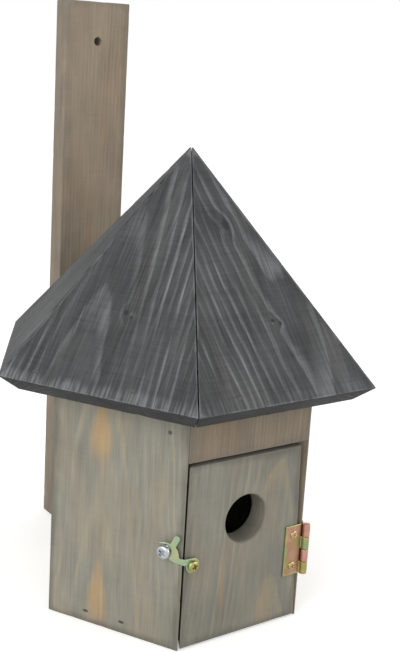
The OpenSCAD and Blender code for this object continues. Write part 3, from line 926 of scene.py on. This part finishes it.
def screw_mesh(name, head_r, head_h, shank_r, shank_l, turn):
    """A screw along +Z, its head's underside at the origin. Its recess takes the second material."""
    bm = bmesh.new()
    arm, width, depth = HEAD_ARM * head_r, HEAD_BAR * head_r, HEAD_DEPTH * head_h
    c, s = math.cos(turn), math.sin(turn)
    loops = []
    for i in range(1, RINGS + 1):
        dome = head_h * math.sqrt(max(0.0, 1 - (i / RINGS) ** 4.5)) * (1 - RIM_HEIGHT) + head_h * RIM_HEIGHT
        loop = []
        for p in around(head_r * i / RINGS, dome):
            p.z -= recess_depth(c * p.x + s * p.y, c * p.y - s * p.x, arm, width, depth)
            loop.append(bm.verts.new(p))
        loops.append(loop)
    profile = [(head_r, 0.0), (shank_r, 0.0)]
    for i in range(int(shank_l / THREAD)):
        root, crest = -(i + 0.3) * THREAD, -(i + 0.5) * THREAD
        next_root = -(i + 0.7) * THREAD
        profile += [(shank_r * CORE, root), (shank_r, crest), (shank_r * CORE, next_root)]
    loops += [[bm.verts.new(p) for p in around(r, z)] for r, z in profile]
    for a, b in zip(loops, loops[1:]):
        for k in range(SPOKES):
            bm.faces.new((a[k], a[k - 1], b[k - 1], b[k]))
    bm.faces.new(loops[0])
    bm.faces.new(reversed(loops[-1]))
    bmesh.ops.recalc_face_normals(bm, faces=bm.faces[:])
    for face in bm.faces:
        middle = face.calc_center_median()
        in_recess = 0 < middle.z < head_h - 0.4 * depth and middle.xy.length < arm
        face.material_index = int(in_recess)
    mesh = bpy.data.meshes.new(name)
    bm.to_mesh(mesh)
    bm.free()
    mesh.shade_smooth()
    mesh.set_sharp_from_angle(angle=HEAD_CREASE)
    return mesh


# %% [markdown]
# ## Screws in their places
# The CAD screws are plain, but they stand where the real ones do. So the middle of each head's outer
# face is found in its node's own points, and a modelled screw is put there. Screws of one node stay one
# piece, as they are in the CAD model.

# %% Screws in place
FLAT = 0.02 * MM      # points this near to the outermost one lie on the same face
APART = 6 * MM        # heads lie at least this far apart in height


def head_faces(node, direction):
    """The middle of each screw head's outer face, for a node whose screws all point one way."""
    points = [v.co for v in frame["nodes"][node].data.vertices]
    reach = max(direction.dot(p) for p in points)
    rim = sorted((p for p in points if direction.dot(p) > reach - FLAT), key=lambda p: p.z)
    groups = [[rim[0]]]
    for p in rim[1:]:
        if p.z - groups[-1][-1].z > APART:
            groups.append([])
        groups[-1].append(p)
    return [sum(group, Vector()) / len(group) for group in groups]


def facing(degrees):
    """A level direction, by its angle from +X."""
    return Vector((math.cos(math.radians(degrees)), math.sin(math.radians(degrees)), 0))


def screws(node, name, direction, head, shank, materials, turns):
    """Puts a modelled screw where each screw of a node is, turned by its own angle, and joins them."""
    head_r, head_h = head
    bm = bmesh.new()
    for centre, turn in zip(head_faces(node, direction), turns):
        mesh = screw_mesh(name, head_r, head_h, *shank, turn)
        pointing = direction.to_track_quat("Z", "Y").to_matrix().to_4x4()
        mesh.transform(Matrix.Translation(centre - direction * head_h) @ pointing)
        bm.from_mesh(mesh)
    joined = bpy.data.meshes.new(name)
    bm.to_mesh(joined)
    bm.free()
    for material in materials:
        joined.materials.append(material)
    return place_piece(name, joined, node)


# Radius and height of each head, then radius and length of each shank
LEAF_SCREW = ((3.3 * MM, 1.2 * MM), (1.5 * MM, 9 * MM))
PIVOT_SCREW = ((4.3 * MM, 2.4 * MM), (1.75 * MM, 9 * MM))
CATCH_SCREW = ((5.1 * MM, 2.4 * MM), (2.2 * MM, 13 * MM))
YELLOW = (OLIVE_ZINC, PLATE_ZINC)
BRIGHT = (BRIGHT_ZINC, BRIGHT_ZINC)

screws("door_leaf_screws", "door_leaf_pan_screws", facing(-90), *LEAF_SCREW, YELLOW, (0.3, 1.1))
screws("wall_leaf_screws", "wall_leaf_pan_screws", facing(-30), *LEAF_SCREW, YELLOW, (0.7, 0.1))
screws("latch_pivot_screw", "pivot_pan_screw", facing(-90), *PIVOT_SCREW, YELLOW, (0.4,))
screws("latch_catch_screw", "catch_pan_screw", facing(210), *CATCH_SCREW, BRIGHT, (0.9,))
